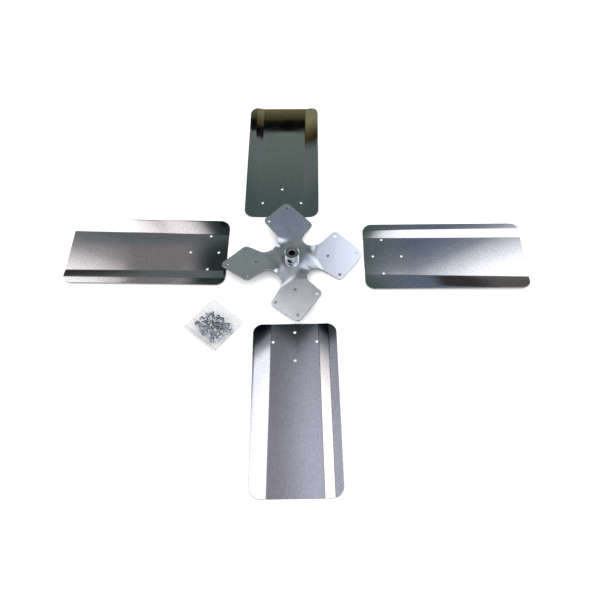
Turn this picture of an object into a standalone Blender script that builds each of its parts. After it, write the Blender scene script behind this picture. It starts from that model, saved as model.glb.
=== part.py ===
"""Four-blade propeller fan kit, laid out flat before assembly.

A pressed steel spider with four pitched pads and a bored boss lies in the middle.
Four loose sheet-aluminium blades lie round it, and a clear bag beside them holds the
screws and nuts. Metres, +Z up, the floor at z = 0, the origin under the middle of the kit.
"""
import random
from math import asin, atan2, cos, exp, hypot, pi, radians, sin, tan

import bmesh
import bpy
from mathutils import Matrix, Vector
from mathutils.bvhtree import BVHTree
from mathutils.geometry import delaunay_2d_cdt

MM = 0.001
SEAT_GAP = 0.3 * MM

# Blade: a plain sheet whose long edges are turned up at creases that are not quite
# parallel. "Lead" is the edge on the clockwise side, seen from above with the root
# towards the hub; "trail" is the other edge, turned up to a ridge with a level strip outside.
# Both folds are nearly flat at the root and reach their full angle over the fold run.
BLADE_LENGTH = 323 * MM
BLADE_HALF_WIDTH = 78.5 * MM
BLADE_GAUGE = 1.6 * MM
BLADE_CORNER = 19 * MM
LEAD_CREASE = (44.3 * MM, 50.4 * MM)
LEAD_FOLD = (radians(2), radians(12))
TRAIL_CREASE = (44.6 * MM, 47.0 * MM)
TRAIL_RIDGE = (63.3 * MM, 64.4 * MM)
TRAIL_FOLD = (radians(3), radians(12))
TRAIL_STRIP_RISE = 0.2 * MM
FOLD_RUN = 0.2
CREASE_HALF = 1.2 * MM
BLADE_ROWS = 14
ROW_CROWDING = 1.5

# Each blade as it lies: middle of its root edge measured from the hub axis, and heading.
BLADE_LAYOUT = {
    "blade_right": (144.9 * MM, 12.2 * MM, radians(-1.2)),
    "blade_top": (-21.5 * MM, 117.0 * MM, radians(88.5)),
    "blade_left": (-131.1 * MM, 28.4 * MM, radians(177.6)),
    "blade_bottom": (3.0 * MM, -139.2 * MM, radians(269.7)),
}

# The four bolt holes form the same kite on every blade root and every spider pad.
HOLE_RADIUS = 2.8 * MM
HOLE_SIDES = 12
CROSS_HOLE_OFFSET = 40.9 * MM
CROSS_HOLE_AHEAD = 19.4 * MM
OUTER_HOLE_AHEAD = 57.5 * MM
BLADE_INNER_HOLE = 18.3 * MM
PAD_INNER_HOLE = 71.3 * MM

# Spider: flat blank outline as arcs, then a low dome and four pads pitched about
# their own radial lines. The clockwise side of each pad is its low side.
SPIDER_GAUGE = 2.7 * MM
SPIDER_TURN = radians(4.2)
ARMS = 4
PAD_PITCH = radians(15.0)
PAD_TIP_RADIUS = 11.2 * MM
PAD_SIDE_RADIUS = 9.5 * MM
NOTCH_CENTRE = 47.8 * MM
NOTCH_RADIUS = 22.2 * MM
DOME_CROWN = 18.0 * MM
DOME_SEAT = 14 * MM
DOME_RADIUS = 50 * MM
TWIST_START = 14 * MM
TWIST_POWERS = (1.9, 3.0)
TWIST_EASE = 18 * MM
ROOT_BEND_AT = 48.5 * MM
ROOT_BEND_SKEW = 0.10
ROOT_BEND_BOW = 71 * MM
ROOT_BEND_ROUND = 0.10
NOTCH_EASE = 14 * MM
SPIDER_GRID = 9 * MM

# Boss: turned steel, its spigot swaged through the plate, with one radial set screw.
BOSS_RADIUS = 14.3 * MM
BOSS_TOP = 37.5 * MM
BORE_RADIUS = 6.35 * MM
BORE_CHAMFER = 0.8 * MM
SPIGOT_RADIUS = 11.5 * MM
SWAGE_RADIUS = 12.8 * MM
SWAGE_THICKNESS = 1.5 * MM
BOSS_EDGE = 0.8 * MM
BOSS_SIDES = 40
SET_SCREW_HEADING = radians(-112)
SET_SCREW_HEIGHT = 26.0 * MM
SET_SCREW_RADIUS = 3.7 * MM
SET_SCREW_LENGTH = 6.0 * MM
SET_SCREW_RECESS = 1.3 * MM
SET_SCREW_SOCKET = 2.0 * MM
SET_SCREW_SIDES = 16

# Screws with hexagon washer heads, and hexagon nuts.
FASTENER_COUNT = 16
SCREW_HEAD_FLATS = 7.9 * MM
SCREW_HEAD_HEIGHT = 3.2 * MM
SCREW_WASHER_RADIUS = 5.0 * MM
SCREW_WASHER_HEIGHT = 0.9 * MM
SCREW_SHANK_RADIUS = 2.35 * MM
SCREW_SHANK_LENGTH = 12.7 * MM
SCREW_SIDES = 12
NUT_FLATS = 9.5 * MM
NUT_HEIGHT = 3.3 * MM
NUT_BORE_RADIUS = 2.1 * MM

# Bag: a square of clear film lying flat, with the fasteners gathered in its near corner.
BAG_CENTRE = (-151.3 * MM, -136.7 * MM)
BAG_TURN = radians(-41)
BAG_HALF = 41 * MM
BAG_CORNER = 3 * MM
FILM_GAUGE = 0.5 * MM
FILM_CELLS = 22
FILM_SLACK = 4 * MM
FILM_FALL = 9 * MM
HEAP_LOW = (-19 * MM, -24 * MM)
HEAP_HIGH = (31 * MM, 14 * MM)
HEAP_SEED = 7
HEAP_TRIES = 30
DROP_STEP = 0.25 * MM


def clear_scene():
    for obj in list(bpy.data.objects):
        bpy.data.objects.remove(obj, do_unlink=True)


def make_material(name, color, metallic, roughness, alpha=1.0):
    material = bpy.data.materials.new(name)
    material.use_nodes = True
    shader = material.node_tree.nodes["Principled BSDF"]
    shader.inputs["Base Color"].default_value = (*color, 1.0)
    shader.inputs["Metallic"].default_value = metallic
    shader.inputs["Roughness"].default_value = roughness
    shader.inputs["Alpha"].default_value = alpha
    return material


def make_object(name, mesh, material, smooth_angle=radians(30)):
    obj = bpy.data.objects.new(name, mesh)
    bpy.context.scene.collection.objects.link(obj)
    mesh.materials.append(material)
    mesh.shade_smooth()
    mesh.set_sharp_from_angle(angle=smooth_angle)
    return obj


def smoothstep(t):
    t = min(1.0, max(0.0, t))
    return t * t * (3 - 2 * t)


def blend(ends, t):
    """The value a fraction t of the way from the root value to the tip value."""
    return ends[0] + (ends[1] - ends[0]) * t


def circle_points(x, y, radius, sides, phase=0.0):
    steps = [phase + 2 * pi * i / sides for i in range(sides)]
    return [(x + radius * cos(a), y + radius * sin(a)) for a in steps]


def belt_outline(circles, arc_step=radians(15)):
    """A closed loop of arcs and common tangents round circles (x, y, signed radius).

    The loop runs anticlockwise. A positive radius keeps the circle inside the loop,
    and a negative one keeps it outside, as a notch.
    """
    count = len(circles)
    headings = []
    for i in range(count):
        x0, y0, r0 = circles[i]
        x1, y1, r1 = circles[(i + 1) % count]
        reach = hypot(x1 - x0, y1 - y0)
        headings.append(atan2(y1 - y0, x1 - x0) - asin((r1 - r0) / reach))
    points = []
    for i in range(count):
        x, y, radius = circles[i]
        start = headings[i - 1]
        turn = (headings[i] - start) % (2 * pi)
        if radius < 0:
            turn -= 2 * pi
        steps = max(1, round(abs(turn) / arc_step))
        for k in range(steps + 1):
            heading = start + turn * k / steps
            points.append((x + radius * sin(heading), y - radius * cos(heading)))
    return points


def is_inside(x, y, loop):
    inside = False
    for i in range(len(loop)):
        x0, y0 = loop[i - 1]
        x1, y1 = loop[i]
        if (y0 > y) != (y1 > y) and x < x0 + (y - y0) * (x1 - x0) / (y1 - y0):
            inside = not inside
    return inside


def sheet_mesh(name, outline, holes, creases, grid, form):
    """A surface mesh of a sheet blank, cut by its outline and holes and then formed.

    Creases are open lines that the triangles follow, grid is a list of loose points,
    and form(x, y) gives the formed place of a point of the blank.
    """
    points = []
    edges = []
    for loop in [outline, *holes]:
        first = len(points)
        points.extend(loop)
        edges.extend((first + i, first + (i + 1) % len(loop)) for i in range(len(loop)))
    for line in creases:
        first = len(points)
        points.extend(line)
        edges.extend((first + i, first + i + 1) for i in range(len(line) - 1))
    points.extend(grid)
    flat, _, triangles, *_ = delaunay_2d_cdt(
        [Vector(p) for p in points], edges, [], 0, 1e-6, False)
    kept = []
    for triangle in triangles:
        x = sum(flat[i].x for i in triangle) / 3
        y = sum(flat[i].y for i in triangle) / 3
        if is_inside(x, y, outline) and not any(is_inside(x, y, hole) for hole in holes):
            kept.append(triangle)
    used = sorted({i for triangle in kept for i in triangle})
    index = {old: new for new, old in enumerate(used)}
    mesh = bpy.data.meshes.new(name)
    mesh.from_pydata([form(flat[i].x, flat[i].y) for i in used], [],
                     [[index[i] for i in triangle] for triangle in kept])
    return mesh


def thicken(obj, gauge, offset):
    solidify = obj.modifiers.new("gauge", "SOLIDIFY")
    solidify.thickness = gauge
    solidify.offset = offset
    solidify.use_even_offset = True
    return obj


def fold_slope(fold, t):
    """Slope of a folded strip at a fraction t of the blade's length."""
    return tan(blend(fold, 1 - exp(-max(t, 0.0) / FOLD_RUN)))


def blade_section(t):
    """Creases and rises across the blade at a fraction t of its length, lead side first."""
    half = BLADE_HALF_WIDTH
    lead = blend(LEAD_CREASE, t)
    trail = blend(TRAIL_CREASE, t)
    ridge = blend(TRAIL_RIDGE, t)
    ridge_rise = (ridge - trail) * fold_slope(TRAIL_FOLD, t)
    return [(-half, (half - lead) * fold_slope(LEAD_FOLD, t)),
            (-lead, 0.0),
            (trail, 0.0),
            (ridge, ridge_rise),
            (half, ridge_rise + TRAIL_STRIP_RISE)]


def blade_rise(x, y):
    """Height of the blade's underside, with each crease rounded over its short width."""
    section = blade_section(x / BLADE_LENGTH)
    slopes = [(b[1] - a[1]) / (b[0] - a[0]) for a, b in zip(section, section[1:])]
    rise = section[0][1] + slopes[0] * (y - section[0][0])
    for corner, before, after in zip(section[1:], slopes, slopes[1:]):
        past = y - corner[0]
        if past >= CREASE_HALF:
            rise += (after - before) * past
        elif past > -CREASE_HALF:
            rise += (after - before) * (past + CREASE_HALF) ** 2 / (4 * CREASE_HALF)
    return rise


def blade_mesh():
    half = BLADE_HALF_WIDTH
    inset = half - BLADE_CORNER
    corners = [(BLADE_CORNER, -inset), (BLADE_LENGTH - BLADE_CORNER, -inset),
               (BLADE_LENGTH - BLADE_CORNER, inset), (BLADE_CORNER, inset)]
    outline = belt_outline([(x, y, BLADE_CORNER) for x, y in corners])
    across = BLADE_INNER_HOLE + CROSS_HOLE_AHEAD
    centres = [(BLADE_INNER_HOLE, 0.0), (across, -CROSS_HOLE_OFFSET),
               (across, CROSS_HOLE_OFFSET), (BLADE_INNER_HOLE + OUTER_HOLE_AHEAD, 0.0)]
    holes = [circle_points(x, y, HOLE_RADIUS, HOLE_SIDES) for x, y in centres]
    stations = [BLADE_LENGTH * (i / BLADE_ROWS) ** ROW_CROWDING for i in range(BLADE_ROWS + 1)]
    stations[0] -= CREASE_HALF
    stations[-1] += CREASE_HALF
    creases = []
    for corner in (1, 2, 3):
        for shift in (-CREASE_HALF, 0.0, CREASE_HALF):
            creases.append([(x, blade_section(x / BLADE_LENGTH)[corner][0] + shift)
                            for x in stations])
    return sheet_mesh("blade", outline, holes, creases, [],
                      lambda x, y: (x, y, blade_rise(x, y)))


def make_blades(kit, material):
    mesh = blade_mesh()
    for name, (x, y, heading) in BLADE_LAYOUT.items():
        blade = make_object(name, mesh, material)
        mesh.materials.clear()
        mesh.materials.append(material)
        blade.location = (x, y, 0.0)
        blade.rotation_euler.z = heading
        blade.parent = kit
        thicken(blade, BLADE_GAUGE, 1.0)


def arm_point(arm, along, aside):
    """A point of the blank, along an arm and aside from it towards its clockwise side."""
    heading = 2 * pi * arm / ARMS
    return (along * cos(heading) + aside * sin(heading),
            along * sin(heading) - aside * cos(heading))


def pad_mid_height():
    """Height of a pad's middle line, with the low corner of its underside on the floor."""
    reach = CROSS_HOLE_OFFSET + PAD_SIDE_RADIUS
    return reach * sin(PAD_PITCH) + SPIDER_GAUGE / 2 * cos(PAD_PITCH)


def dome_height(x, y):
    out = (hypot(x, y) - DOME_SEAT) / (DOME_RADIUS - DOME_SEAT)
    return blend((DOME_CROWN, pad_mid_height()), smoothstep(out))


def twist_share(t, power):
    """How much of a pad's pitch an arm has at t of its root: slow at first, with a crisp end."""
    parts = []
    for edge in (t - ROOT_BEND_ROUND, t + ROOT_BEND_ROUND):
        area = max(min(edge, 1.0), 0.0) ** (power + 1) / (power + 1)
        parts.append(area + max(edge - 1, 0.0))
    return (parts[1] - parts[0]) / (2 * ROOT_BEND_ROUND)


def spider_form(x, y):
    """The middle surface of the formed spider over a point of the flat blank."""
    arm = round(atan2(y, x) / (2 * pi / ARMS)) % ARMS
    heading = 2 * pi * arm / ARMS
    along = x * cos(heading) + y * sin(heading)
    aside = x * sin(heading) - y * cos(heading)
    bend = ROOT_BEND_AT + ROOT_BEND_SKEW * aside + aside ** 2 / (2 * ROOT_BEND_BOW)
    power = blend(TWIST_POWERS, smoothstep(aside / (2 * TWIST_EASE) + 0.5))
    share = twist_share((along - TWIST_START) / (bend - TWIST_START), power)
    share *= smoothstep((along - abs(aside)) / NOTCH_EASE)
    pad = pad_mid_height() - aside * sin(PAD_PITCH)
    height = dome_height(x, y) * (1 - share) + pad * share
    aside *= 1 - share * (1 - cos(PAD_PITCH))
    return (*arm_point(arm, along, aside), height)


def spider_outline():
    circles = []
    across = PAD_INNER_HOLE + CROSS_HOLE_AHEAD
    tip = PAD_INNER_HOLE + OUTER_HOLE_AHEAD
    for arm in range(ARMS):
        circles.append((*arm_point(arm, NOTCH_CENTRE, NOTCH_CENTRE), -NOTCH_RADIUS))
        circles.append((*arm_point(arm, across, CROSS_HOLE_OFFSET), PAD_SIDE_RADIUS))
        circles.append((*arm_point(arm, tip, 0.0), PAD_TIP_RADIUS))
        circles.append((*arm_point(arm, across, -CROSS_HOLE_OFFSET), PAD_SIDE_RADIUS))
    return belt_outline(circles)


def spider_holes():
    across = PAD_INNER_HOLE + CROSS_HOLE_AHEAD
    tip = PAD_INNER_HOLE + OUTER_HOLE_AHEAD
    holes = [circle_points(0.0, 0.0, SPIGOT_RADIUS + SEAT_GAP, BOSS_SIDES)]
    for arm in range(ARMS):
        for along, aside in ((PAD_INNER_HOLE, 0.0), (across, CROSS_HOLE_OFFSET),
                             (across, -CROSS_HOLE_OFFSET), (tip, 0.0)):
            x, y = arm_point(arm, along, aside)
            holes.append(circle_points(x, y, HOLE_RADIUS, HOLE_SIDES))
    return holes


def spider_grid(outline, holes):
    """Loose points over the dome and the arm roots, where the sheet is curved."""
    clearance = SPIDER_GRID / 3
    fixed = outline + [p for hole in holes for p in hole]
    reach = ROOT_BEND_AT + SPIDER_GRID
    steps = int(reach / SPIDER_GRID)
    grid = []
    for i in range(-steps, steps + 1):
        for j in range(-steps, steps + 1):
            x = i * SPIDER_GRID
            y = j * SPIDER_GRID
            clear = all(hypot(x - a, y - b) > clearance for a, b in fixed)
            if clear and is_inside(x, y, outline) and hypot(x, y) > SPIGOT_RADIUS:
                grid.append((x, y))
    return grid


def make_spider(kit, material):
    outline = spider_outline()
    holes = spider_holes()
    mesh = sheet_mesh("hub_spider", outline, holes, [], spider_grid(outline, holes),
                      spider_form)
    spider = make_object("hub_spider", mesh, material)
    spider.rotation_euler.z = SPIDER_TURN
    spider.parent = kit
    return thicken(spider, SPIDER_GAUGE, 0.0)


def turned_mesh(name, profile, sides):
    """A closed ring turned about Z from a profile of (radius, height), inner side last."""
    bm = bmesh.new()
    rings = []
    for radius, height in profile:
        rings.append([bm.verts.new((x, y, height))
                      for x, y in circle_points(0.0, 0.0, radius, sides)])
    for lower, upper in zip(rings, rings[1:] + rings[:1]):
        for i in range(sides):
            j = (i + 1) % sides
            bm.faces.new((lower[i], lower[j], upper[j], upper[i]))
    bmesh.ops.recalc_face_normals(bm, faces=bm.faces)
    mesh = bpy.data.meshes.new(name)
    bm.to_mesh(mesh)
    bm.free()
    return mesh


def make_boss(kit, material):
    """The boss stands on the dome's flat crown, and its swaged lip grips from below."""
    plate_top = DOME_CROWN + SPIDER_GAUGE / 2 + SEAT_GAP
    plate_under = dome_height(SWAGE_RADIUS, 0.0) - SPIDER_GAUGE / 2 - SEAT_GAP
    swage_under = plate_under - SWAGE_THICKNESS
    profile = [
        (BORE_RADIUS + BORE_CHAMFER, swage_under),
        (SWAGE_RADIUS - BOSS_EDGE, swage_under),
        (SWAGE_RADIUS, swage_under + BOSS_EDGE),
        (SWAGE_RADIUS, plate_under),
        (SPIGOT_RADIUS, plate_under),
        (SPIGOT_RADIUS, plate_top),
        (BOSS_RADIUS, plate_top),
        (BOSS_RADIUS, BOSS_TOP - BOSS_EDGE),
        (BOSS_RADIUS - BOSS_EDGE, BOSS_TOP),
        (BORE_RADIUS + BORE_CHAMFER, BOSS_TOP),
        (BORE_RADIUS, BOSS_TOP - BORE_CHAMFER),
        (BORE_RADIUS, swage_under + BORE_CHAMFER),
    ]
    boss = make_object("hub_boss", turned_mesh("hub_boss", profile, BOSS_SIDES), material)
    boss.parent = kit
    cutter = make_object("set_screw_hole", rod_mesh(
        "set_screw_hole", SET_SCREW_RADIUS + SEAT_GAP, 0.0, 2 * BOSS_RADIUS,
        SET_SCREW_SIDES), material)
    place_radially(cutter, kit)
    cutter.hide_render = True
    cutter.display_type = "WIRE"
    cut = boss.modifiers.new("set_screw_hole", "BOOLEAN")
    cut.object = cutter
    cut.operation = "DIFFERENCE"
    cut.solver = "EXACT"


def rod_mesh(name, radius, start, end, sides):
    """A plain rod along Z from start to end."""
    bm = bmesh.new()
    bmesh.ops.create_cone(bm, cap_ends=True, segments=sides, radius1=radius,
                          radius2=radius, depth=end - start)
    bmesh.ops.translate(bm, verts=bm.verts, vec=(0.0, 0.0, (start + end) / 2))
    mesh = bpy.data.meshes.new(name)
    bm.to_mesh(mesh)
    bm.free()
    return mesh


def place_radially(obj, kit):
    """Turn an object's Z axis outward along the set screw's line."""
    obj.rotation_euler = (0.0, pi / 2, SET_SCREW_HEADING)
    obj.location = (0.0, 0.0, SET_SCREW_HEIGHT)
    obj.parent = kit


def make_set_screw(kit, material):
    """A socket set screw sunk just below the boss's outer face."""
    outer = BOSS_RADIUS - SET_SCREW_RECESS
    inner = outer - SET_SCREW_LENGTH
    socket_floor = outer - SET_SCREW_LENGTH / 2
    bm = bmesh.new()
    rings = []
    for radius, height in ((SET_SCREW_RADIUS - 0.7 * MM, inner),
                           (SET_SCREW_RADIUS, inner + 0.7 * MM),
                           (SET_SCREW_RADIUS, outer)):
        rings.append([bm.verts.new((x, y, height)) for x, y in
                      circle_points(0.0, 0.0, radius, SET_SCREW_SIDES)])
    for lower, upper in zip(rings, rings[1:]):
        for i in range(SET_SCREW_SIDES):
            j = (i + 1) % SET_SCREW_SIDES
            bm.faces.new((lower[i], lower[j], upper[j], upper[i]))
    bm.faces.new(reversed(rings[0]))
    mouth = [bm.verts.new((x, y, outer)) for x, y in
             circle_points(0.0, 0.0, SET_SCREW_SOCKET, 6)]
    floor = [bm.verts.new((x, y, socket_floor)) for x, y in
             circle_points(0.0, 0.0, SET_SCREW_SOCKET, 6)]
    for i in range(6):
        j = (i + 1) % 6
        bm.faces.new((mouth[j], mouth[i], floor[i], floor[j]))
    bm.faces.new(floor)
    rim = [bm.edges.get((ring[i], ring[(i + 1) % len(ring)]))
           for ring in (rings[-1], mouth) for i in range(len(ring))]
    bmesh.ops.triangle_fill(bm, edges=rim, use_beauty=True)
    bmesh.ops.recalc_face_normals(bm, faces=bm.faces)
    mesh = bpy.data.meshes.new("set_screw")
    bm.to_mesh(mesh)
    bm.free()
    place_radially(make_object("set_screw", mesh, material), kit)


def screw_mesh():
    """A screw along Z: tip at the bottom, washer face at zero, hexagon head above."""
    head_radius = SCREW_HEAD_FLATS / 2 / cos(pi / 6)
    bm = bmesh.new()
    rings = [
        circle_points(0, 0, SCREW_SHANK_RADIUS * 0.75, SCREW_SIDES),
        circle_points(0, 0, SCREW_SHANK_RADIUS, SCREW_SIDES),
        circle_points(0, 0, SCREW_SHANK_RADIUS, SCREW_SIDES),
        circle_points(0, 0, SCREW_WASHER_RADIUS, SCREW_SIDES),
        circle_points(0, 0, SCREW_WASHER_RADIUS, SCREW_SIDES),
        [], [],
    ]
    for slot in (5, 6):
        for i in range(SCREW_SIDES):
            angle = 2 * pi * i / SCREW_SIDES
            radius = head_radius if i % 2 == 0 else head_radius * cos(pi / 6)
            rings[slot].append((radius * cos(angle), radius * sin(angle)))
    heights = [-SCREW_SHANK_LENGTH, -SCREW_SHANK_LENGTH + SCREW_SHANK_RADIUS * 0.4, 0.0, 0.0,
               SCREW_WASHER_HEIGHT, SCREW_WASHER_HEIGHT, SCREW_HEAD_HEIGHT]
    loops = [[bm.verts.new((x, y, z)) for x, y in ring] for ring, z in zip(rings, heights)]
    for lower, upper in zip(loops, loops[1:]):
        for i in range(SCREW_SIDES):
            j = (i + 1) % SCREW_SIDES
            bm.faces.new((lower[i], lower[j], upper[j], upper[i]))
    bm.faces.new(reversed(loops[0]))
    bm.faces.new(loops[-1])
    mesh = bpy.data.meshes.new("screw")
    bm.to_mesh(mesh)
    bm.free()
    return mesh


def nut_mesh():
    """A hexagon nut about Z, lying on zero."""
    sides = 12
    hex_radius = NUT_FLATS / 2 / cos(pi / 6)
    outer = []
    for i in range(sides):
        angle = 2 * pi * i / sides
        radius = hex_radius if i % 2 == 0 else hex_radius * cos(pi / 6)
        outer.append((radius * cos(angle), radius * sin(angle)))
    inner = circle_points(0, 0, NUT_BORE_RADIUS, sides)
    bm = bmesh.new()
    loops = [[bm.verts.new((x, y, z)) for x, y in ring] for ring, z in
             ((outer, 0.0), (outer, NUT_HEIGHT), (inner, NUT_HEIGHT), (inner, 0.0))]
    for lower, upper in zip(loops, loops[1:] + loops[:1]):
        for i in range(sides):
            j = (i + 1) % sides
            bm.faces.new((lower[i], lower[j], upper[j], upper[i]))
    mesh = bpy.data.meshes.new("nut")
    bm.to_mesh(mesh)
    bm.free()
    return mesh


def placed_tree(points, faces, matrix):
    return BVHTree.FromPolygons([matrix @ p for p in points], faces)


def measure(points, pose):
    """Middle, reach, lowest and highest point of a placed piece."""
    placed = [pose @ p for p in points]
    middle = sum(placed, Vector()) / len(placed)
    reach = max((p - middle).length for p in placed)
    return middle, reach, min(p.z for p in placed), max(p.z for p in placed)


def drop(points, faces, pose, settled, floor):
    """Lower a pose straight down until it meets the floor or a settled piece.

    Returns the resting matrix. settled holds (middle, reach, top, tree) of the pieces.
    """
    middle, reach, lowest, _ = measure(points, pose)
    near = [(top, tree) for other, other_reach, top, tree in settled
            if hypot(other.x - middle.x, other.y - middle.y) < reach + other_reach]
    height = max([floor] + [top + DROP_STEP for top, _ in near])
    while height - DROP_STEP >= floor:
        lower = Matrix.Translation((0, 0, height - DROP_STEP - lowest)) @ pose
        tree = placed_tree(points, faces, lower)
        if any(tree.overlap(other) for _, other in near):
            break
        height -= DROP_STEP
    return Matrix.Translation((0, 0, height - lowest)) @ pose


def screw_pose(rng, x, y):
    """Lying on its side, propped between the rim of its washer and its tip."""
    prop = atan2(SCREW_WASHER_RADIUS - SCREW_SHANK_RADIUS, SCREW_SHANK_LENGTH)
    lean = prop + rng.uniform(-0.10, 0.22)
    spin = Matrix.Rotation(rng.uniform(0, pi / 3), 4, "Z")
    lie = Matrix.Rotation(pi / 2 + lean, 4, "X")
    turn = Matrix.Rotation(rng.uniform(0, 2 * pi), 4, "Z")
    middle = Matrix.Translation((0, 0, (SCREW_SHANK_LENGTH - SCREW_HEAD_HEIGHT) / 2))
    return Matrix.Translation((x, y, 0)) @ turn @ lie @ spin @ middle


def nut_pose(rng, x, y):
    """Lying flat, or leaning on its neighbours."""
    lean = Matrix.Rotation(rng.choice((0.0, 0.0, 0.35, 0.8)) * rng.uniform(0.4, 1.0), 4, "X")
    turn = Matrix.Rotation(rng.uniform(0, 2 * pi), 4, "Z")
    spin = Matrix.Rotation(rng.uniform(0, pi / 3), 4, "Z")
    return Matrix.Translation((x, y, 0)) @ turn @ lean @ spin


def make_fasteners(bag, material):
    """Screws, then nuts, each dropped where it comes to lie lowest in a few tries.

    Returns the middle, reach and top of each piece where it lies.
    """
    rng = random.Random(HEAP_SEED)
    floor = FILM_GAUGE + SEAT_GAP
    settled = []
    for kind, mesh, make_pose in (("screw", screw_mesh(), screw_pose),
                                  ("nut", nut_mesh(), nut_pose)):
        mesh.materials.append(material)
        points = [v.co.copy() for v in mesh.vertices]
        faces = [tuple(p.vertices) for p in mesh.polygons]
        for i in range(FASTENER_COUNT):
            tries = []
            for _ in range(HEAP_TRIES):
                x = rng.uniform(HEAP_LOW[0], HEAP_HIGH[0])
                y = rng.uniform(HEAP_LOW[1], HEAP_HIGH[1])
                tries.append(drop(points, faces, make_pose(rng, x, y), settled, floor))
            pose = min(tries, key=lambda matrix: measure(points, matrix)[3])
            middle, reach, _, top = measure(points, pose)
            settled.append((middle, reach, top, placed_tree(points, faces, pose)))
            obj = bpy.data.objects.new(f"{kind}_{i + 1:02d}", mesh)
            bpy.context.scene.collection.objects.link(obj)
            obj.matrix_local = pose
            obj.parent = bag
        mesh.set_sharp_from_angle(angle=radians(30))
    return [(middle, reach, top) for middle, reach, top, _ in settled]


def film_outline():
    inset = BAG_HALF - BAG_CORNER
    corners = [(-inset, -inset), (inset, -inset), (inset, inset), (-inset, inset)]
    return belt_outline([(x, y, BAG_CORNER) for x, y in corners], arc_step=radians(30))


def film_rise(x, y, caps):
    """Height of the upper film's underside: on the rim, or tented over the nearest pieces."""
    rim = FILM_GAUGE + SEAT_GAP
    rise = rim
    for middle, reach, top in caps:
        beyond = hypot(x - middle.x, y - middle.y) - reach - FILM_SLACK
        lift = smoothstep(1 - beyond / FILM_FALL)
        rise = max(rise, rim + (top + SEAT_GAP - rim) * lift)
    return rise


def make_bag(kit, film, steel):
    bag = bpy.data.objects.new("bag_frame", None)
    bpy.context.scene.collection.objects.link(bag)
    bag.location = (*BAG_CENTRE, 0.0)
    bag.rotation_euler.z = BAG_TURN
    bag.parent = kit
    caps = make_fasteners(bag, steel)
    cells = [BAG_HALF * (2 * (i + 0.5) / FILM_CELLS - 1) for i in range(FILM_CELLS)]
    grid = [(x, y) for x in cells for y in cells]
    lower = make_object("bag_back_film", sheet_mesh(
        "bag_back_film", film_outline(), [], [], [], lambda x, y: (x, y, 0.0)), film)
    upper = make_object("bag_front_film", sheet_mesh(
        "bag_front_film", film_outline(), [], [], grid,
        lambda x, y: (x, y, film_rise(x, y, caps))), film)
    for sheet in (lower, upper):
        sheet.parent = bag
        thicken(sheet, FILM_GAUGE, 1.0)


def centre_kit(kit):
    """Move the kit so that the middle of its plan is over the origin."""
    bpy.context.view_layer.update()
    graph = bpy.context.evaluated_depsgraph_get()
    corners = []
    for obj in bpy.data.objects:
        if obj.type == "MESH" and not obj.hide_render:
            solid = obj.evaluated_get(graph)
            corners.extend(solid.matrix_world @ v.co for v in solid.data.vertices)
    for axis in (0, 1):
        values = [corner[axis] for corner in corners]
        kit.location[axis] = -(min(values) + max(values)) / 2


def main():
    clear_scene()
    kit = bpy.data.objects.new("kit_frame", None)
    bpy.context.scene.collection.objects.link(kit)
    aluminium = make_material("blade_sheet", (0.80, 0.80, 0.82), 1.0, 0.25)
    plated = make_material("spider_plating", (0.62, 0.65, 0.70), 1.0, 0.22)
    turned = make_material("boss_steel", (0.66, 0.67, 0.69), 1.0, 0.18)
    black = make_material("set_screw_black", (0.03, 0.03, 0.03), 1.0, 0.45)
    bright = make_material("fastener_zinc", (0.60, 0.66, 0.70), 1.0, 0.25)
    film = make_material("bag_film", (0.93, 0.94, 0.95), 0.0, 0.15, alpha=0.25)
    make_blades(kit, aluminium)
    make_spider(kit, plated)
    make_boss(kit, turned)
    make_set_screw(kit, black)
    make_bag(kit, film, bright)
    centre_kit(kit)


main()
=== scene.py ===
"""Looks of the four-blade propeller fan kit: detailed pieces, materials, studio and camera.

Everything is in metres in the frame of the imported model. The hub axis is read from the
packed boss, and sizes repeat those of the part's own source.
"""
from functools import reduce
from math import asin, atan2, ceil, cos, exp, hypot, pi, radians, sin, tan

import bmesh
import bpy
import numpy
from mathutils import Matrix, Vector, noise
from mathutils.bvhtree import BVHTree
from mathutils.geometry import delaunay_2d_cdt


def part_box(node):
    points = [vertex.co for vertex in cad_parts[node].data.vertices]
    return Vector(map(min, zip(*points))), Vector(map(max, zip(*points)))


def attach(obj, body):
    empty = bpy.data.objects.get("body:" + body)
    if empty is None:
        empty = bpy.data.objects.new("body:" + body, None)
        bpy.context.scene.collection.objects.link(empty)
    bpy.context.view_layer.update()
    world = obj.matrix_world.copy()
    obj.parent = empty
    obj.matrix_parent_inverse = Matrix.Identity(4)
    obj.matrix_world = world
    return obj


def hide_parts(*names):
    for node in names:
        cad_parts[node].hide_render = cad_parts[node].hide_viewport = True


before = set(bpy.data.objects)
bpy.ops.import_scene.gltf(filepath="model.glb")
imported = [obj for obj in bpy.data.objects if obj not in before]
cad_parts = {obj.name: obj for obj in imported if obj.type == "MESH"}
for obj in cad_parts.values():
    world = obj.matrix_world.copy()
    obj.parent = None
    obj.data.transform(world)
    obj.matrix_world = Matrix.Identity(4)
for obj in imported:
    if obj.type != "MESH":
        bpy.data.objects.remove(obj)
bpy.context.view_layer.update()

MM = 0.001

# Clearance between seated parts, the step that slopes are measured over, a length too small
# to matter, the step of an outline's arcs, and the angle from which an edge is sharp.
SEAT_GAP = 0.3 * MM
SURFACE_STEP = 0.05 * MM
TINY = 1e-6
ARC_STEP = radians(6)
SHARP_ANGLE = radians(32)

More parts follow.
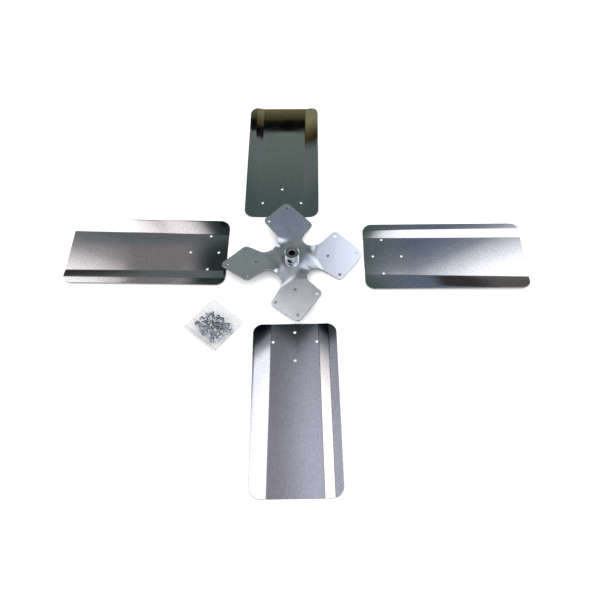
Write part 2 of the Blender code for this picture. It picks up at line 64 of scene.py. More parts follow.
# Blade, as in the part's source, with the finer detail of a sheared and folded sheet.
BLADE_LENGTH = 323 * MM
BLADE_HALF_WIDTH = 78.5 * MM
BLADE_GAUGE = 1.6 * MM
BLADE_CORNER = 19 * MM
LEAD_CREASE = (44.3 * MM, 50.4 * MM)
LEAD_FOLD = (radians(2), radians(12))
TRAIL_CREASE = (44.6 * MM, 47.0 * MM)
TRAIL_RIDGE = (63.3 * MM, 64.4 * MM)
TRAIL_FOLD = (radians(3), radians(12))
TRAIL_STRIP_RISE = 0.2 * MM
FOLD_RUN = 0.2
CREASE_HALF = 1.2 * MM
CREASE_LINES = (-1.0, -0.5, 0.0, 0.5, 1.0)
BLADE_ROWS = 28
ROW_CROWDING = 1.5
BLADE_GRID = 9 * MM
BLADE_LAYOUT = {
    "blade_right": (144.9 * MM, 12.2 * MM, radians(-1.2)),
    "blade_top": (-21.5 * MM, 117.0 * MM, radians(88.5)),
    "blade_left": (-131.1 * MM, 28.4 * MM, radians(177.6)),
    "blade_bottom": (3.0 * MM, -139.2 * MM, radians(269.7)),
}
HOLE_RADIUS = 2.8 * MM
HOLE_SIDES = 32
HOLE_ASIDE = 40.9 * MM
HOLE_AHEAD = 19.4 * MM
OUTER_HOLE_AHEAD = 57.5 * MM
BLADE_INNER_HOLE = 18.3 * MM
PAD_INNER_HOLE = 71.3 * MM
SHEET_EDGE_RADIUS = 0.3 * MM
EDGE_STEPS = 3

# Spider, as in the part's source: a low dome with four pads that are pitched alike.
SPIDER_GAUGE = 2.7 * MM
SPIDER_TURN = radians(4.2)
ARMS = 4
PAD_PITCH = radians(15.0)
PAD_TIP_RADIUS = 11.2 * MM
PAD_SIDE_RADIUS = 9.5 * MM
NOTCH_CENTRE = 47.8 * MM
NOTCH_RADIUS = 22.2 * MM
DOME_CROWN = 18.0 * MM
DOME_SEAT = 14 * MM
DOME_RADIUS = 50 * MM
TWIST_START = 14 * MM
TWIST_POWERS = (1.9, 3.0)
TWIST_EASE = 18 * MM
ROOT_BEND_AT = 48.5 * MM
ROOT_BEND_SKEW = 0.1
ROOT_BEND_BOW = 71 * MM
ROOT_BEND_ROUND = 0.1
NOTCH_EASE = 14 * MM
SPIDER_GRID = 2.5 * MM
SPIDER_EDGE_RADIUS = 0.5 * MM

# Boss and set screw. The set screw's hole has a light countersink.
BOSS_RADIUS = 14.3 * MM
BOSS_TOP = 37.5 * MM
BORE_RADIUS = 6.35 * MM
BORE_CHAMFER = 0.8 * MM
SPIGOT_RADIUS = 11.5 * MM
SWAGE_RADIUS = 12.8 * MM
SWAGE_THICKNESS = 1.5 * MM
BOSS_EDGE = 0.8 * MM
SHOULDER_EDGE = 0.3 * MM
BOSS_SIDES = 128
BOSS_SHARP = radians(20)
SINK_LEVEL = 0.2 * MM
SINK_BELOW = 0.5 * MM
SINK_ABOVE = 0.4 * MM
SINK_SPREAD = 0.9 * MM
UPRIGHT_TILT = 0.05
ROUND_LEAN = 0.995
SET_SCREW_HEADING = radians(-112)
SET_SCREW_HEIGHT = 26.0 * MM
SET_SCREW_RADIUS = 3.7 * MM
SET_SCREW_LENGTH = 6.0 * MM
SET_SCREW_RECESS = 1.3 * MM
SET_SCREW_CHAMFER = 0.6 * MM
SET_SCREW_SOCKET = 2.0 * MM
SOCKET_RIM = 0.35 * MM
SOCKET_BEVEL = 0.25 * MM
SET_SCREW_SIDES = 48

# Screws and nuts. A thread's crest starts and ends at two shares of its pitch.
HEAD_FLATS = 7.9 * MM
HEAD_HEIGHT = 3.2 * MM
WASHER_RADIUS = 5.0 * MM
WASHER_HEIGHT = 0.9 * MM
WASHER_FOOT = (0.15 * MM, 0.2 * MM)
WASHER_SHOULDER = 0.3 * MM
WASHER_FALL = 0.05 * MM
SHANK_RADIUS = 2.35 * MM
SHANK_LENGTH = 12.7 * MM
SCREW_TIP_SHARE = 0.9
SCREW_NECK = 0.9 * MM
SCREW_TOP_SHARE = 0.93
SCREW_PITCH = 1.06 * MM
THREAD_START = 0.35
THREAD_CREST = (0.44, 0.56)
THREAD_DEPTH = 0.45 * MM
FASTENER_SIDES = 24
HEX_CHAMFER = tan(radians(30))
HEX_CHAMFER_START = 0.96
NUT_FLATS = 9.5 * MM
NUT_HEIGHT = 3.3 * MM
NUT_BORE_RADIUS = 2.1 * MM
NUT_FACE_SHARE = 0.94

# How a fastener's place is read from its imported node.
SAME_WAY = 0.9995
HEAD_RIM = 1.5
RIM_DEPTH = 0.1 * MM

# Bag: a square of two clear films, the front one drawn over the fasteners.
BAG_CENTRE = (-151.3 * MM, -136.7 * MM)
BAG_TURN = radians(-41)
BAG_HALF = 41 * MM
BAG_CORNER = 3 * MM
FILM_THICKNESS = 0.12 * MM
FILM_CELL = 0.8 * MM
BACK_FILM_CELL = 3 * FILM_CELL
BACK_FILM_LEVEL = 0.3 * MM
FRONT_RIM_LEVEL = 0.6 * MM
FILM_CLEARANCE = 0.3 * MM
FILM_LOAD = 0.03 * MM
FILM_PASSES = 900
SEAM_X = 40.4 * MM
SEAM_Y = -34.5 * MM
SEAM_HALF = 0.8 * MM
RIM_WELD = 0.8 * MM
FILM_EDGE_FADE = 4 * MM
HEAP_MIDDLE = (5 * MM, -6 * MM)
FOLD_HEIGHT = 0.7 * MM
FOLDS = 5.0
FOLD_DRIFT = 30 * MM
FOLD_FREE = 14 * MM
FOLD_SHARPNESS = 5
BREAK_SIZE = 11 * MM
BREAK_SHARPNESS = 6
BREAK_SHARE = 0.6
WAVE_SIZE = 14 * MM
WAVE_LAYER = 3.0 * MM
WAVE_HEIGHT = 0.2 * MM

# Camera, measured from the hub axis, with its lens in mm for a 36 mm wide picture.
CAMERA_FROM_HUB = (13.92 * MM, -682.2 * MM, 1018.75 * MM)
CAMERA_PITCH = radians(59.67)
CAMERA_ROLL = radians(-1.2313)
CAMERA_LENS = 36.464
CAMERA_CLIP = (0.01, 50.0)

WORLD_COLOR = (0.98, 0.985, 1.0, 1.0)
WORLD_STRENGTH = 1.8
KEY_ENERGY = 0.1
KEY_ANGLE = radians(24)
KEY_FROM = (0.45, 0.35, 1.0)
FLOOR_HALF = 6.0
FLOOR_DROP = 0.2 * MM

# The hub axis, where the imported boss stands.
HUB_X, HUB_Y, _ = [(low + high) / 2 for low, high in zip(*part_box("hub_boss"))]


def add_object(name, data):
    obj = bpy.data.objects.new(name, data)
    bpy.context.scene.collection.objects.link(obj)
    return obj


# Shapes


def smoothstep(t):
    t = min(1.0, max(0.0, t))
    return t * t * (3 - 2 * t)


def blend(ends, t):
    return ends[0] + (ends[1] - ends[0]) * t


def circle_points(x, y, radius, sides):
    steps = [2 * pi * i / sides for i in range(sides)]
    return [(x + radius * cos(a), y + radius * sin(a)) for a in steps]


def belt_outline(circles):
    """A closed anticlockwise loop of arcs and tangents round circles (x, y, signed radius)."""
    headings = []
    for (x0, y0, r0), (x1, y1, r1) in zip(circles, circles[1:] + circles[:1]):
        reach = hypot(x1 - x0, y1 - y0)
        headings.append(atan2(y1 - y0, x1 - x0) - asin((r1 - r0) / reach))
    points = []
    for (x, y, radius), start, end in zip(circles, headings[-1:] + headings, headings):
        turn = (end - start) % (2 * pi)
        if radius < 0:
            turn -= 2 * pi
        steps = max(1, round(abs(turn) / ARC_STEP))
        for k in range(steps + 1):
            heading = start + turn * k / steps
            points.append((x + radius * sin(heading), y - radius * cos(heading)))
    return points


def rounded_box(left, right, half, radius):
    """The outline round four equal circles, centred on the corners of a box about the X axis."""
    corners = ((left, -half), (right, -half), (right, half), (left, half))
    return belt_outline([(x, y, radius) for x, y in corners])


def is_inside(x, y, loop):
    inside = False
    for i in range(len(loop)):
        x0, y0 = loop[i - 1]
        x1, y1 = loop[i]
        if (y0 > y) != (y1 > y) and x < x0 + (y - y0) * (x1 - x0) / (y1 - y0):
            inside = not inside
    return inside


def is_in_blank(x, y, outline, holes):
    return is_inside(x, y, outline) and not any(is_inside(x, y, hole) for hole in holes)


def triangulate(outline, holes, creases, grid):
    """Flat vertices and triangles of a blank, cut by its loops and following its creases."""
    points = []
    edges = []
    for count, line in enumerate((outline, *holes, *creases)):
        ends = range(len(points), len(points) + len(line))
        points.extend(line)
        edges.extend(zip(ends, ends[1:]))
        if count <= len(holes):
            edges.append((ends[-1], ends[0]))
    points.extend(grid)
    flat, _, triangles, *_ = delaunay_2d_cdt(
        [Vector(p) for p in points], edges, [], 0, TINY, False)
    kept = []
    for triangle in triangles:
        x = sum(flat[i].x for i in triangle) / 3
        y = sum(flat[i].y for i in triangle) / 3
        if is_in_blank(x, y, outline, holes):
            kept.append(triangle)
    used = sorted({i for triangle in kept for i in triangle})
    index = {old: new for new, old in enumerate(used)}
    return [flat[i].copy() for i in used], [[index[i] for i in t] for t in kept]


def loose_grid(outline, holes, pitch, fixed):
    """Points of a square grid inside the blank and clear of the fixed points."""
    low_x, low_y = (min(p[k] for p in outline) for k in (0, 1))
    high_x, high_y = (max(p[k] for p in outline) for k in (0, 1))
    grid = []
    for i in range(ceil((high_x - low_x) / pitch)):
        for j in range(ceil((high_y - low_y) / pitch)):
            x = low_x + (i + 0.5) * pitch
            y = low_y + (j + 0.5) * pitch
            if is_in_blank(x, y, outline, holes):
                if all(hypot(x - a, y - b) > pitch / 2 for a, b in fixed):
                    grid.append((x, y))
    return grid


def boundary_walk(triangles):
    """Directed boundary edges of the triangles, as the vertex before and after each one."""
    sides = set()
    for a, b, c in triangles:
        sides.update(((a, b), (b, c), (c, a)))
    return [(a, b) for a, b in sides if (b, a) not in sides]


def surface_frame(form, x, y):
    """Place and unit normal of the formed surface over a blank point."""
    here = Vector(form(x, y))
    across = Vector(form(x + SURFACE_STEP, y)) - Vector(form(x - SURFACE_STEP, y))
    along = Vector(form(x, y + SURFACE_STEP)) - Vector(form(x, y - SURFACE_STEP))
    return here, across.cross(along).normalized()


def sheet_mesh(name, flat, triangles, form, low, high, radius):
    """A closed sheet between two heights off its form, its cut edges slightly rounded."""
    places = [surface_frame(form, p.x, p.y) for p in flat]
    count = len(flat)
    verts = [here + normal * height for height in (high, low) for here, normal in places]
    normals = [normal * side for side in (1, -1) for _, normal in places]
    faces = [tuple(t) for t in triangles]
    faces += [(c + count, b + count, a + count) for a, b, c in triangles]
    following = dict(boundary_walk(triangles))
    before = {b: a for a, b in following.items()}
    profile = []
    for k in range(1, EDGE_STEPS + 1):
        angle = pi / 2 * k / EDGE_STEPS
        profile.append((radius * sin(angle), high - radius * (1 - cos(angle)), angle))
    profile += [(out, low + high - height, pi - angle) for out, height, angle in profile[::-1]]
    rings = {}
    for v in following:
        here, normal = places[v]
        ahead = flat[following[v]] - flat[before[v]]
        plan = Vector((ahead.y, -ahead.x)).normalized()
        beside = Vector(form(flat[v].x + plan.x * SURFACE_STEP, flat[v].y + plan.y * SURFACE_STEP))
        outward = (beside - here).normalized()
        rings[v] = [v]
        for out, height, angle in profile:
            rings[v].append(len(verts))
            verts.append(here + outward * out + normal * height)
            normals.append(normal * cos(angle) + outward * sin(angle))
        rings[v].append(v + count)
    for a, b in following.items():
        for k in range(len(profile) + 1):
            faces.append((rings[b][k], rings[a][k], rings[a][k + 1], rings[b][k + 1]))
    mesh = bpy.data.meshes.new(name)
    mesh.from_pydata(verts, [], faces)
    mesh.shade_smooth()
    mesh.normals_split_custom_set_from_vertices([n.normalized() for n in normals])
    return mesh


def formed_sheet(name, outline, holes, creases, pitch, form, low, high, radius):
    """A closed sheet on its form, from the loops and crease lines of its flat blank."""
    fixed = outline + [p for group in (*holes, *creases) for p in group]
    grid = loose_grid(outline, holes, pitch, fixed)
    flat, triangles = triangulate(outline, holes, creases, grid)
    return sheet_mesh(name, flat, triangles, form, low, high, radius)


def fold_slope(fold, t):
    return tan(blend(fold, 1 - exp(-max(t, 0.0) / FOLD_RUN)))


def blade_section(t):
    """Creases and rises across the blade at a fraction t of its length, lead side first."""
    half = BLADE_HALF_WIDTH
    lead = blend(LEAD_CREASE, t)
    trail = blend(TRAIL_CREASE, t)
    ridge = blend(TRAIL_RIDGE, t)
    ridge_rise = (ridge - trail) * fold_slope(TRAIL_FOLD, t)
    return [(-half, (half - lead) * fold_slope(LEAD_FOLD, t)),
            (-lead, 0.0),
            (trail, 0.0),
            (ridge, ridge_rise),
            (half, ridge_rise + TRAIL_STRIP_RISE)]


def blade_form(x, y):
    """The blade's underside, with each crease rounded over its short width."""
    section = blade_section(x / BLADE_LENGTH)
    slopes = [(b[1] - a[1]) / (b[0] - a[0]) for a, b in zip(section, section[1:])]
    rise = section[0][1] + slopes[0] * (y - section[0][0])
    for corner, before, after in zip(section[1:], slopes, slopes[1:]):
        past = y - corner[0]
        if past >= CREASE_HALF:
            rise += (after - before) * past
        elif past > -CREASE_HALF:
            rise += (after - before) * (past + CREASE_HALF) ** 2 / (4 * CREASE_HALF)
    return x, y, rise


def blade_mesh():
    edge = SHEET_EDGE_RADIUS
    outline = rounded_box(BLADE_CORNER, BLADE_LENGTH - BLADE_CORNER,
                          BLADE_HALF_WIDTH - BLADE_CORNER, BLADE_CORNER - edge)
    across = BLADE_INNER_HOLE + HOLE_AHEAD
    centres = [(BLADE_INNER_HOLE, 0.0), (across, -HOLE_ASIDE),
               (across, HOLE_ASIDE), (BLADE_INNER_HOLE + OUTER_HOLE_AHEAD, 0.0)]
    holes = [circle_points(x, y, HOLE_RADIUS + edge, HOLE_SIDES) for x, y in centres]
    stations = [BLADE_LENGTH * (i / BLADE_ROWS) ** ROW_CROWDING for i in range(BLADE_ROWS + 1)]
    stations[0] -= CREASE_HALF
    stations[-1] += CREASE_HALF
    creases = []
    for corner in (1, 2, 3):
        for line in CREASE_LINES:
            creases.append([(x, blade_section(x / BLADE_LENGTH)[corner][0] + line * CREASE_HALF)
                            for x in stations])
    return formed_sheet("blade_sheet", outline, holes, creases, BLADE_GRID, blade_form,
                        0.0, BLADE_GAUGE, edge)


def arm_point(arm, along, aside):
    """A point of the blank, along an arm and aside from it towards its clockwise side."""
    heading = 2 * pi * arm / ARMS
    return (along * cos(heading) + aside * sin(heading),
            along * sin(heading) - aside * cos(heading))


def pad_mid_height():
    reach = HOLE_ASIDE + PAD_SIDE_RADIUS
    return reach * sin(PAD_PITCH) + SPIDER_GAUGE / 2 * cos(PAD_PITCH)


def dome_height(x, y):
    out = (hypot(x, y) - DOME_SEAT) / (DOME_RADIUS - DOME_SEAT)
    return blend((DOME_CROWN, pad_mid_height()), smoothstep(out))


def twist_share(t, power):
    """How much of a pad's pitch an arm has at t of its root: slow at first, with a crisp end."""
    parts = []
    for edge in (t - ROOT_BEND_ROUND, t + ROOT_BEND_ROUND):
        area = max(min(edge, 1.0), 0.0) ** (power + 1) / (power + 1)
        parts.append(area + max(edge - 1, 0.0))
    return (parts[1] - parts[0]) / (2 * ROOT_BEND_ROUND)


def spider_form(x, y):
    """The middle surface of the formed spider over a point of the flat blank."""
    arm = round(atan2(y, x) / (2 * pi / ARMS)) % ARMS
    heading = 2 * pi * arm / ARMS
    along = x * cos(heading) + y * sin(heading)
    aside = x * sin(heading) - y * cos(heading)
    bend = ROOT_BEND_AT + ROOT_BEND_SKEW * aside + aside ** 2 / (2 * ROOT_BEND_BOW)
    power = blend(TWIST_POWERS, smoothstep(aside / (2 * TWIST_EASE) + 0.5))
    share = twist_share((along - TWIST_START) / (bend - TWIST_START), power)
    share *= smoothstep((along - abs(aside)) / NOTCH_EASE)
    pad = pad_mid_height() - aside * sin(PAD_PITCH)
    height = dome_height(x, y) * (1 - share) + pad * share
    aside *= 1 - share * (1 - cos(PAD_PITCH))
    return (*arm_point(arm, along, aside), height)


def spider_mesh():
    edge = SPIDER_EDGE_RADIUS
    across = PAD_INNER_HOLE + HOLE_AHEAD
    tip = PAD_INNER_HOLE + OUTER_HOLE_AHEAD
    arcs = ((NOTCH_CENTRE, NOTCH_CENTRE, -NOTCH_RADIUS),
            (across, HOLE_ASIDE, PAD_SIDE_RADIUS),
            (tip, 0.0, PAD_TIP_RADIUS),
            (across, -HOLE_ASIDE, PAD_SIDE_RADIUS))
    centres = ((PAD_INNER_HOLE, 0.0), (across, HOLE_ASIDE),
               (across, -HOLE_ASIDE), (tip, 0.0))
    circles = []
    holes = [circle_points(0.0, 0.0, SPIGOT_RADIUS + SEAT_GAP + edge, BOSS_SIDES)]
    for arm in range(ARMS):
        for along, aside, radius in arcs:
            circles.append((*arm_point(arm, along, aside), radius - edge))
        for along, aside in centres:
            holes.append(circle_points(*arm_point(arm, along, aside), HOLE_RADIUS + edge,
                                       HOLE_SIDES))
    return formed_sheet("spider_plate", belt_outline(circles), holes, [], SPIDER_GRID,
                        spider_form, -SPIDER_GAUGE / 2, SPIDER_GAUGE / 2, edge)


def round_ring(bm, radius, height, sides=FASTENER_SIDES):
    return [bm.verts.new((x, y, height)) for x, y in circle_points(0.0, 0.0, radius, sides)]


def skin(bm, rings, capped=True):
    """The faces between rings that have as many vertices, and over the first and last."""
    for lower, upper in zip(rings, rings[1:]):
        for i in range(len(lower)):
            j = (i + 1) % len(lower)
            bm.faces.new((lower[i], lower[j], upper[j], upper[i]))
    if capped:
        bm.faces.new(rings[0][::-1])
        bm.faces.new(rings[-1])


def turned_bmesh(profile, sides, closed=True):
    """Rings turned about Z from a profile of (radius, height), joined end to end or capped."""
    bm = bmesh.new()
    rings = [round_ring(bm, radius, height, sides) for radius, height in profile]
    skin(bm, rings + rings[:1] if closed else rings, capped=not closed)
    return bm


def finish_bmesh(name, bm):
    bmesh.ops.recalc_face_normals(bm, faces=bm.faces)
    mesh = bpy.data.meshes.new(name)
    bm.to_mesh(mesh)
    bm.free()
    mesh.shade_smooth()
    mesh.set_sharp_from_angle(angle=SHARP_ANGLE)
    return mesh


def boss_profile():
    plate_top = DOME_CROWN + SPIDER_GAUGE / 2 + SEAT_GAP
    plate_under = dome_height(SWAGE_RADIUS, 0.0) - SPIDER_GAUGE / 2 - SEAT_GAP
    swage_under = plate_under - SWAGE_THICKNESS
    mouth = BORE_RADIUS + BORE_CHAMFER
    return [
        (mouth, swage_under),
        (SWAGE_RADIUS - BOSS_EDGE, swage_under),
        (SWAGE_RADIUS, swage_under + BOSS_EDGE),
        (SWAGE_RADIUS, plate_under),
        (SPIGOT_RADIUS, plate_under),
        (SPIGOT_RADIUS, plate_top),
        (BOSS_RADIUS - SHOULDER_EDGE, plate_top),
        (BOSS_RADIUS, plate_top + SHOULDER_EDGE),
        (BOSS_RADIUS, BOSS_TOP - BOSS_EDGE),
        (BOSS_RADIUS - BOSS_EDGE, BOSS_TOP),
        (mouth, BOSS_TOP),
        (BORE_RADIUS, BOSS_TOP - BORE_CHAMFER),
        (BORE_RADIUS, swage_under + BORE_CHAMFER),
    ]


def radial_matrix():
    """Turns Z outward along the set screw's line."""
    turn = Matrix.Rotation(SET_SCREW_HEADING, 4, "Z") @ Matrix.Rotation(pi / 2, 4, "Y")
    return Matrix.Translation((0.0, 0.0, SET_SCREW_HEIGHT)) @ turn


def boss_mesh():
    """The turned boss with its set screw hole, lightly countersunk, drilled through one wall."""
    blank = turned_bmesh(boss_profile(), BOSS_SIDES)
    body = add_object("boss_blank", finish_bmesh("boss_blank", blank))
    mouth = SET_SCREW_RADIUS + SEAT_GAP
    wide = mouth + SINK_SPREAD
    lip = BOSS_RADIUS - SINK_LEVEL
    drill = turned_bmesh([(mouth, 0.0), (mouth, lip - SINK_BELOW),
                          (wide, lip + SINK_ABOVE), (wide, 2 * BOSS_RADIUS)],
                         SET_SCREW_SIDES, closed=False)
    cutter = add_object("boss_drill", finish_bmesh("boss_drill", drill))
    cutter.matrix_world = radial_matrix()
    cut = body.modifiers.new("drill", "BOOLEAN")
    cut.object = cutter
    cut.operation = "DIFFERENCE"
    cut.solver = "EXACT"
    bpy.context.view_layer.update()
    graph = bpy.context.evaluated_depsgraph_get()
    mesh = bpy.data.meshes.new_from_object(body.evaluated_get(graph))
    mesh.name = "boss_turned"
    for obj in (body, cutter):
        bpy.data.objects.remove(obj, do_unlink=True)
    mesh.shade_smooth()
    mesh.set_sharp_from_angle(angle=BOSS_SHARP)
    true_round_normals(mesh)
    return mesh


def true_round_normals(mesh):
    """Give the corners of every upright face the exact normal of a round wall about Z."""
    normals = []
    for face in mesh.polygons:
        for loop in face.loop_indices:
            place = mesh.vertices[mesh.loops[loop].vertex_index].co
            radial = Vector((place.x, place.y, 0.0)).normalized()
            lean = face.normal.dot(radial)
            if abs(face.normal.z) < UPRIGHT_TILT and abs(lean) > ROUND_LEAN:
                normals.append(radial if lean > 0 else -radial)
            else:
                normals.append(mesh.corner_normals[loop].vector.copy())
    mesh.normals_split_custom_set(normals)


def set_screw_mesh():
    """A socket set screw: threaded side, chamfered ends and a hexagon socket."""
    side = SET_SCREW_RADIUS
    chamfer = SET_SCREW_CHAMFER
    outer = BOSS_RADIUS - SET_SCREW_RECESS
    inner = outer - SET_SCREW_LENGTH
    threaded = SET_SCREW_LENGTH - 2 * chamfer
    turns = int(threaded / SCREW_PITCH)
    pitch = threaded / turns
    profile = [(side - chamfer, inner), (side, inner + chamfer)]
    for i in range(turns):
        base = inner + chamfer + i * pitch
        profile += [(side - THREAD_DEPTH, base + pitch / 2), (side, base + pitch)]
    profile += [(side - chamfer / 2, outer), (SET_SCREW_SOCKET + SOCKET_RIM, outer)]
    bm = bmesh.new()
    rings = [round_ring(bm, radius, height, SET_SCREW_SIDES) for radius, height in profile]
    for depth in (SOCKET_BEVEL, SET_SCREW_LENGTH / 2):
        rings.append(hex_ring(bm, 2 * SET_SCREW_SOCKET * cos(pi / 6), outer - depth,
                              sides=SET_SCREW_SIDES))
    skin(bm, rings)
    return finish_bmesh("set_screw_body", bm)


def hex_radius(apothem, angle):
    """How far a hexagon reaches at an angle, with a corner at zero."""
    return apothem / cos((angle % (pi / 3)) - pi / 6)


def hex_ring(bm, flats, height, drop=0.0, sides=FASTENER_SIDES):
    """A ring on a hexagon; drop lowers it by the chamfer that cuts the corners."""
    ring = []
    for i in range(sides):
        angle = 2 * pi * i / sides
        radius = hex_radius(flats / 2, angle)
        z = height - drop * (radius - flats / 2 * HEX_CHAMFER_START) * HEX_CHAMFER
        ring.append(bm.verts.new((radius * cos(angle), radius * sin(angle), z)))
    return ring


def screw_mesh():
    """A screw along Z: tip at the bottom, washer face at zero, chamfered hexagon head."""
    root = SHANK_RADIUS - THREAD_DEPTH
    profile = [(root * SCREW_TIP_SHARE, -SHANK_LENGTH)]
    for i in range(int(SHANK_LENGTH / SCREW_PITCH) - 1):
        base = -SHANK_LENGTH + (i + THREAD_START) * SCREW_PITCH
        profile.append((root, base))
        profile.extend((SHANK_RADIUS, base + SCREW_PITCH * share) for share in THREAD_CREST)
    profile += [
        (root, -SCREW_NECK),
        (root, 0.0),
        (WASHER_RADIUS - WASHER_FOOT[0], 0.0),
        (WASHER_RADIUS, WASHER_FOOT[1]),
        (WASHER_RADIUS, WASHER_HEIGHT - WASHER_SHOULDER),
        (WASHER_RADIUS - WASHER_SHOULDER, WASHER_HEIGHT - WASHER_FALL),
    ]
    bm = bmesh.new()
    rings = [round_ring(bm, radius, height) for radius, height in profile]
    rings.append(hex_ring(bm, HEAD_FLATS, WASHER_HEIGHT))
    rings.append(hex_ring(bm, HEAD_FLATS, HEAD_HEIGHT, drop=1.0))
    rings.append(round_ring(bm, HEAD_FLATS / 2 * SCREW_TOP_SHARE, HEAD_HEIGHT))
    skin(bm, rings)
    return finish_bmesh("screw_body", bm)


def nut_mesh():
    """A chamfered hexagon nut about Z, lying on zero, with threads in its bore."""
    bm = bmesh.new()
    face = NUT_FLATS / 2 * NUT_FACE_SHARE
    root = NUT_BORE_RADIUS + THREAD_DEPTH
    rings = [round_ring(bm, root, 0.0),
             round_ring(bm, face, 0.0),
             hex_ring(bm, NUT_FLATS, 0.0, drop=-1.0),
             hex_ring(bm, NUT_FLATS, NUT_HEIGHT, drop=1.0),
             round_ring(bm, face, NUT_HEIGHT),
             round_ring(bm, root, NUT_HEIGHT)]
    depth = NUT_HEIGHT - 2 * THREAD_DEPTH
    turns = int(depth / SCREW_PITCH) + 1
    for i in range(turns):
        base = NUT_HEIGHT - THREAD_DEPTH - depth * i / turns
        rings.append(round_ring(bm, NUT_BORE_RADIUS, base))
        rings.append(round_ring(bm, root, base - depth / turns / 2))
    rings.append(round_ring(bm, NUT_BORE_RADIUS, THREAD_DEPTH))
    skin(bm, rings + rings[:1], capped=False)
    return finish_bmesh("nut_body", bm)


def main_axis(mesh):
    """The direction that most of a mesh's face area looks along."""
    tally = []
    for face in mesh.polygons:
        for entry in tally:
            if abs(entry[0].dot(face.normal)) > SAME_WAY:
                entry[1] += face.area
                break
        else:
            tally.append([face.normal.copy(), face.area])
    return max(tally, key=lambda entry: entry[1])[0].normalized()


def node_pose(name, has_shank):
    """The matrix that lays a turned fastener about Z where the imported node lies."""
    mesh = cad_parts[name].data
    axis = main_axis(mesh)
    side = axis.orthogonal().normalized()
    points = [v.co for v in mesh.vertices]
    middle = Vector((0.0, 0.0, 0.0))
    for direction in (side, axis.cross(side)):
        reach = [p.dot(direction) for p in points]
        middle += direction * (max(reach) + min(reach)) / 2
    radius = [(p - middle - axis * (p - middle).dot(axis)).length for p in points]
    levels = [p.dot(axis) for p in points]
    if has_shank:
        wide = [level for level, out in zip(levels, radius) if out > SHANK_RADIUS * HEAD_RIM]
        if sum(wide) / len(wide) < (max(levels) + min(levels)) / 2:
            axis = -axis
            levels = [-level for level in levels]
        base = max(levels) - HEAD_HEIGHT
        rim = [i for i, level in enumerate(levels) if level > max(levels) - RIM_DEPTH]
    else:
        base = min(levels)
        rim = range(len(points))
    corner = points[max(rim, key=lambda i: radius[i])] - middle
    x_axis = (corner - axis * corner.dot(axis)).normalized()
    turn = Matrix((x_axis, axis.cross(x_axis), axis)).transposed().to_4x4()
    return Matrix.Translation(middle + axis * base) @ turn


def fastener_tree():
    """All packed screws and nuts as one shape to look down on."""
    verts = []
    faces = []
    for name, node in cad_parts.items():
        if name.startswith(("screw_", "nut_")):
            first = len(verts)
            verts.extend(v.co.copy() for v in node.data.vertices)
            faces.extend([first + i for i in face.vertices] for face in node.data.polygons)
    return BVHTree.FromPolygons(verts, faces)


def film_heights():
    """The front film's underside on a square grid: taut over the fasteners, down at its seams."""
    count = round(2 * BAG_HALF / FILM_CELL) + 1
    tree = fastener_tree()
    turn = bag_matrix()
    steps = [i * FILM_CELL - BAG_HALF for i in range(count)]
    tops = numpy.full((count, count), FRONT_RIM_LEVEL)
    for i, x in enumerate(steps):
        for j, y in enumerate(steps):
            hit = tree.ray_cast(turn @ Vector((x, y, 2 * BOSS_TOP)), Vector((0, 0, -1)))[0]
            if hit is not None:
                tops[i, j] = hit.z + FILM_CLEARANCE
    support = tops
    for i in (-1, 0, 1):
        for j in (-1, 0, 1):
            support = numpy.maximum(support, numpy.roll(tops, (i, j), (0, 1)))
    line = numpy.array(steps)
    down = (line[:, None] > SEAM_X - SEAM_HALF) | (line[None, :] < SEAM_Y + SEAM_HALF)
    down[0, :] = True
    down[:, -1] = True
    heights = support
    for _ in range(FILM_PASSES):
        around = sum(numpy.roll(heights, step, axis) for step in (-1, 1) for axis in (0, 1)) / 4
        heights = numpy.maximum(support, around - FILM_LOAD)
        heights[down] = FRONT_RIM_LEVEL
    return heights


def film_fold(x, y):
    """How sharply the film is folded at a point, on lines that run out from the heap."""
    out_x = x - HEAP_MIDDLE[0]
    out_y = y - HEAP_MIDDLE[1]
    out = hypot(out_x, out_y)
    heading = Vector((out_x, out_y)) / max(out, TINY)
    across = noise.noise(Vector((heading.x * FOLDS, heading.y * FOLDS, out / FOLD_DRIFT)))
    loose = noise.noise(Vector((x, y, 0.0)) / BREAK_SIZE)
    radial = max(0.0, 1 - FOLD_SHARPNESS * abs(across)) ** 2 * smoothstep(out / FOLD_FREE)
    broken = max(0.0, 1 - BREAK_SHARPNESS * abs(loose)) ** 2
    return max(radial, BREAK_SHARE * broken)


def film_edge_share(x, y):
    """Rises from nothing on the seams and the rim to one inside the bag."""
    inner = min(SEAM_X - SEAM_HALF - x, BAG_HALF - y, y - SEAM_Y - SEAM_HALF, x + BAG_HALF)
    return smoothstep(inner / FILM_EDGE_FADE)


def front_film_over(heights):
    """The front film's form: a place between four heights of the grid, and its folds."""
    last = len(heights) - 1

    def form(x, y):
        u = min(last - TINY, max(0.0, (x + BAG_HALF) / FILM_CELL))
        v = min(last - TINY, max(0.0, (y + BAG_HALF) / FILM_CELL))
        i = int(u)
        j = int(v)
        near = blend((heights[i, j], heights[i + 1, j]), u - i)
        far = blend((heights[i, j + 1], heights[i + 1, j + 1]), u - i)
        fold = FOLD_HEIGHT * film_fold(x, y) * film_edge_share(x, y)
        return x, y, float(blend((near, far), v - j)) + fold

    return form


def back_film_form(x, y):
    wave = noise.noise(Vector((x, y, WAVE_LAYER)) / WAVE_SIZE)
    return x, y, BACK_FILM_LEVEL + WAVE_HEIGHT * wave * film_edge_share(x, y)


